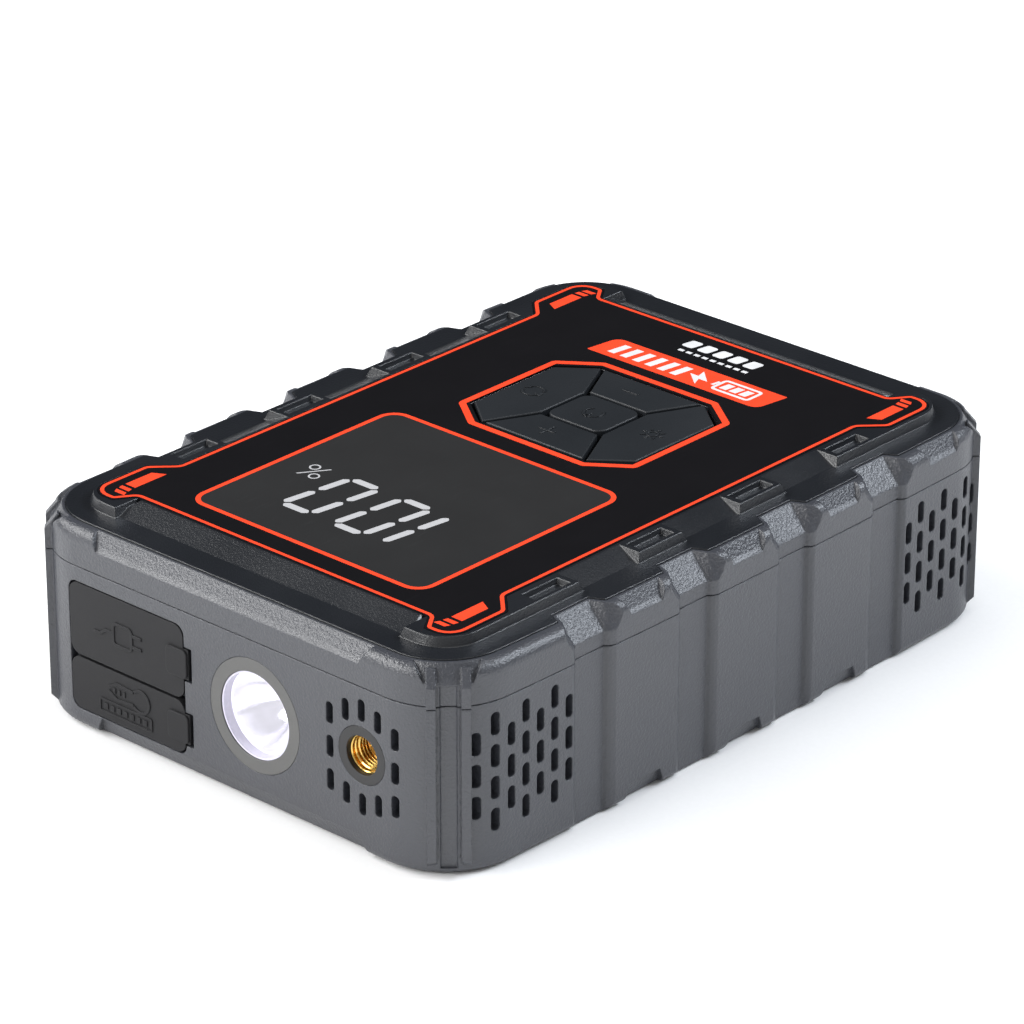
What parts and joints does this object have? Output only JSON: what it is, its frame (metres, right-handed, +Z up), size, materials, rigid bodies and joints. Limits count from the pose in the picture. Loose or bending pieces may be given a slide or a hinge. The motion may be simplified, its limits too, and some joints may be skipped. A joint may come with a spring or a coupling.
{
  "type": "jump starter pack",
  "caption": "Cordless car jump starter with a ribbed two-shell case, top display and keypad, torch, tyre inflator outlet and covered charging and jump-cable sockets.",
  "frame": {"origin": "centre of the footprint, on the plane the rubber feet stand on", "axes": "+X to the right, -Y the front face with sockets and torch, +Z up"},
  "size_m": [0.13, 0.1826, 0.0502],
  "materials": {
    "shell_plastic": "fine spark-eroded texture",
    "tray_plastic": "fine texture",
    "label_film": "satin film with orange line graphics",
    "smoked_window": "smoked, smooth",
    "key_rubber": "smooth silicone",
    "cover_rubber": "matte",
    "bezel_plastic": "satin",
    "clear_lens": "clear, smooth",
    "mirror_metal": "vacuum-plated reflector",
    "outlet_plastic": "satin",
    "brass_metal": "machined",
    "steel_metal": "plated",
    "circuit_board": "solder mask",
    "black_plastic": "plain",
    "led_yellow": "phosphor",
    "cell_foil": "pouch foil",
    "foam_pad": "foam",
    "strap_tape": "glass-cloth tape",
    "nylon_gear": "natural nylon",
    "cast_aluminium": "die cast",
    "hose_rubber": "plain",
    "lead_rubber": "silicone insulation",
    "coil_ferrite": "ferrite",
    "capacitor_can": "sleeved can"
  },
  "bodies": {
    "case": {"air_hose": "hose_rubber", "air_outlet_fitting": "brass_metal", "air_outlet_ring": "outlet_plastic", "battery_cells": "cell_foil", "battery_leads": "lead_rubber", "battery_pads": "foam_pad", "battery_strap": "strap_tape", "board_screws": "steel_metal", "capacitors": "capacitor_can", "case_screws": "steel_metal", "cell_board": "circuit_board", "control_board": "circuit_board", "crank_axle": "steel_metal", "cylinder": "cast_aluminium", "cylinder_head": "cast_aluminium", "display_module": "black_plastic", "display_window": "smoked_window", "gearbox_frame": "cast_aluminium", "jump_socket": "black_plastic", "keypad_web": "key_rubber", "label_plate": "label_film", "lower_shell": "shell_plastic", "main_board": "circuit_board", "motor_body": "steel_metal", "power_coils": "coil_ferrite", "rubber_feet": "hose_rubber", "socket_terminals": "brass_metal", "start_relay": "black_plastic", "tact_switches": "black_plastic", "top_tray": "tray_plastic", "torch_bezel": "bezel_plastic", "torch_board": "circuit_board", "torch_led": "led_yellow", "torch_lens": "clear_lens", "torch_reflector": "mirror_metal", "upper_shell": "shell_plastic", "usb_a_port": "steel_metal", "usb_c_port": "steel_metal"},
    "key_power": {"key_power": "key_rubber"},
    "key_mode": {"key_mode": "key_rubber"},
    "key_light": {"key_light": "key_rubber"},
    "key_plus": {"key_plus": "key_rubber"},
    "key_minus": {"key_minus": "key_rubber"},
    "usb_cover": {"usb_cover": "cover_rubber"},
    "engine_cover": {"engine_cover": "cover_rubber"},
    "motor_rotor": {"motor_pinion": "brass_metal"},
    "crank": {"crank_gear": "nylon_gear"},
    "piston": {"piston": "black_plastic"}
  },
  "joints": [
    {"name": "key_power_press", "type": "slide", "parent": "case", "child": "key_power", "axis": [0, 0, -1], "range_m": [0, 0.0008]},
    {"name": "key_mode_press", "type": "slide", "parent": "case", "child": "key_mode", "axis": [0, 0, -1], "range_m": [0, 0.0008]},
    {"name": "key_light_press", "type": "slide", "parent": "case", "child": "key_light", "axis": [0, 0, -1], "range_m": [0, 0.0008]},
    {"name": "key_plus_press", "type": "slide", "parent": "case", "child": "key_plus", "axis": [0, 0, -1], "range_m": [0, 0.0008]},
    {"name": "key_minus_press", "type": "slide", "parent": "case", "child": "key_minus", "axis": [0, 0, -1], "range_m": [0, 0.0008]},
    {"name": "usb_cover_hinge", "type": "hinge", "parent": "case", "child": "usb_cover", "pos_m": [-0.0473, -0.0913, 0.0265], "axis": [0, 0, -1], "range_deg": [0, 110]},
    {"name": "engine_cover_hinge", "type": "hinge", "parent": "case", "child": "engine_cover", "pos_m": [-0.0473, -0.0913, 0.01115], "axis": [0, 0, -1], "range_deg": [0, 110]},
    {"name": "crank_spin", "type": "hinge", "parent": "case", "child": "crank", "pos_m": [0.02, -0.03, 0.0232], "axis": [1, 0, 0], "continuous": true},
    {"name": "motor_spin", "type": "hinge", "parent": "case", "child": "motor_rotor", "pos_m": [0.024, -0.012, 0.0232], "axis": [1, 0, 0], "continuous": true},
    {"name": "piston_stroke", "type": "slide", "parent": "case", "child": "piston", "axis": [0, 1, 0], "range_m": [0, 0.012]}
  ],
  "couplings": [
    {"joint": "motor_spin", "follows": "crank_spin", "ratio": -5}
  ]
}
